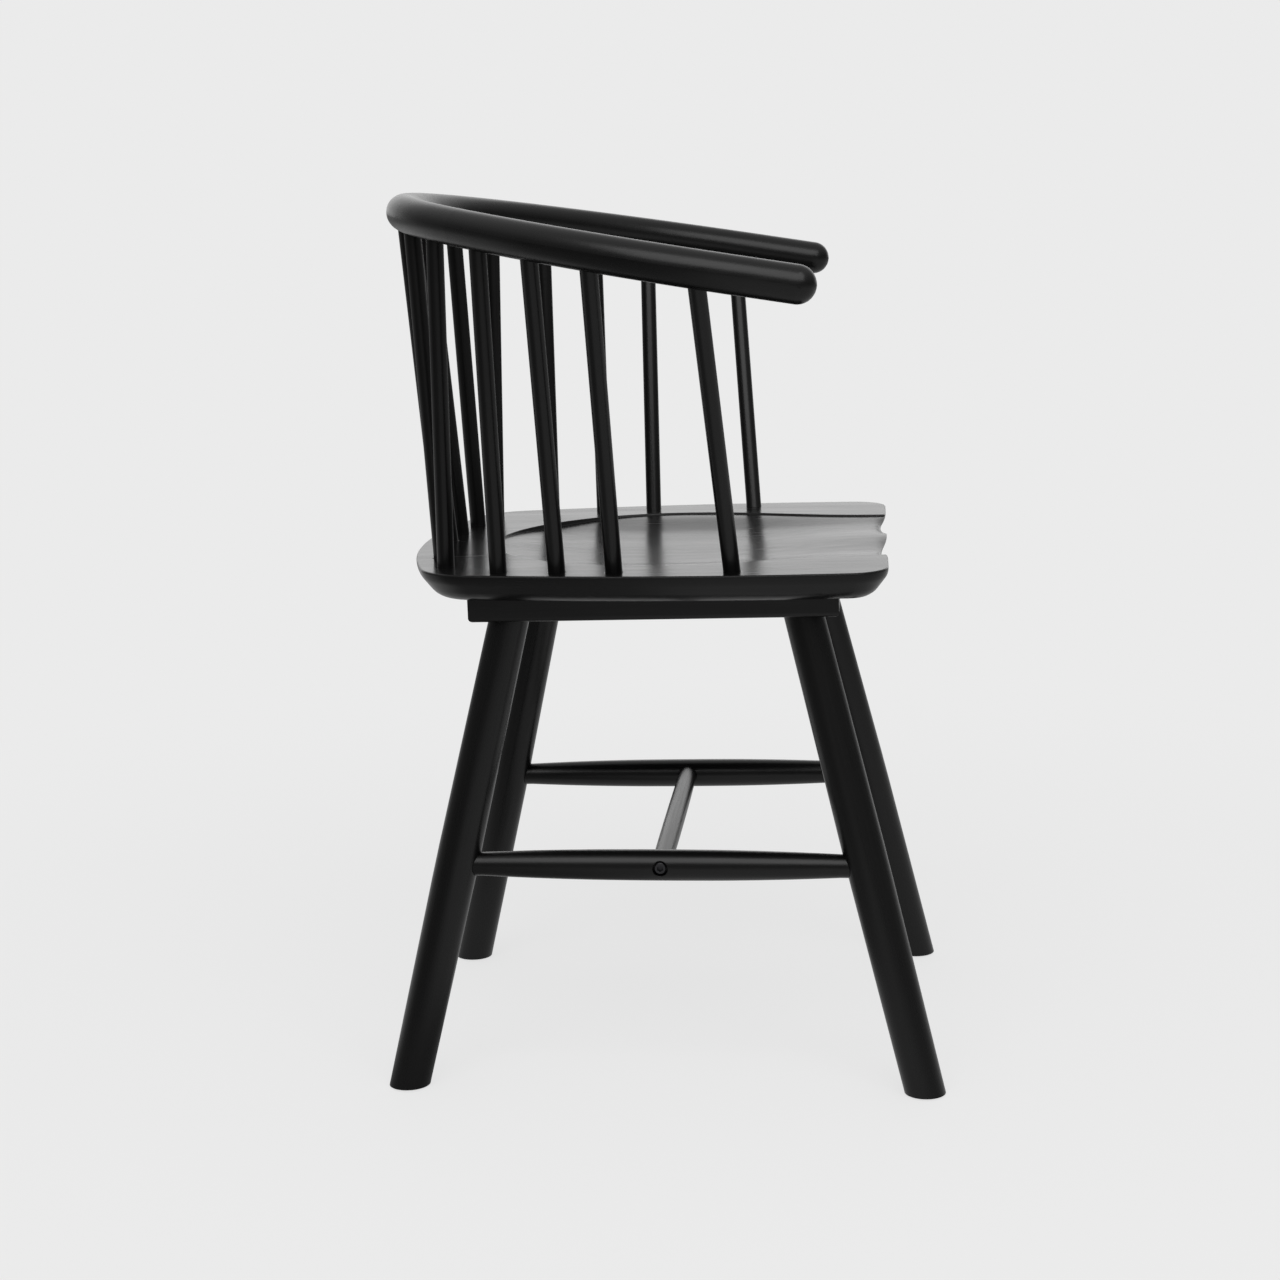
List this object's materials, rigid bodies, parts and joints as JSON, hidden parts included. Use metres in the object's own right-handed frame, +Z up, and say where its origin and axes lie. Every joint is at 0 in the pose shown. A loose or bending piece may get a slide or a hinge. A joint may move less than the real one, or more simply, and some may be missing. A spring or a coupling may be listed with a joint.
{
  "type": "wooden armchair",
  "caption": "Low-backed wooden armchair with a carved saddle seat, a bent arm bow on round spindles, splayed turned legs and an H stretcher, finished in satin black lacquer.",
  "frame": {"origin": "on the floor, under the middle of the chair's box", "axes": "+Z up; the chair faces -Y, so +X is the sitter's left"},
  "size_m": [0.5884, 0.4762, 0.7518],
  "materials": {
    "lacquered_wood": "satin lacquer",
    "bolt_steel": "zinc plated",
    "insert_brass": "machined",
    "glide_plastic": "matte"
  },
  "bodies": {
    "root": {"arm_bow": "lacquered_wood", "cross_stretcher": "lacquered_wood", "floor_glides": "glide_plastic", "front_leg_left": "lacquered_wood", "front_leg_right": "lacquered_wood", "rear_leg_left": "lacquered_wood", "rear_leg_right": "lacquered_wood", "seat": "lacquered_wood", "seat_bolts": "bolt_steel", "seat_inserts": "insert_brass", "seat_rail_left": "lacquered_wood", "seat_rail_right": "lacquered_wood", "side_stretcher_left": "lacquered_wood", "side_stretcher_right": "lacquered_wood", "spindle_back_centre": "lacquered_wood", "spindle_left_1": "lacquered_wood", "spindle_left_2": "lacquered_wood", "spindle_left_3": "lacquered_wood", "spindle_left_4": "lacquered_wood", "spindle_left_5": "lacquered_wood", "spindle_left_6": "lacquered_wood", "spindle_left_7": "lacquered_wood", "spindle_right_1": "lacquered_wood", "spindle_right_2": "lacquered_wood", "spindle_right_3": "lacquered_wood", "spindle_right_4": "lacquered_wood", "spindle_right_5": "lacquered_wood", "spindle_right_6": "lacquered_wood", "spindle_right_7": "lacquered_wood", "stretcher_bolts": "bolt_steel", "stretcher_inserts": "insert_brass"}
  },
  "joints": []
}
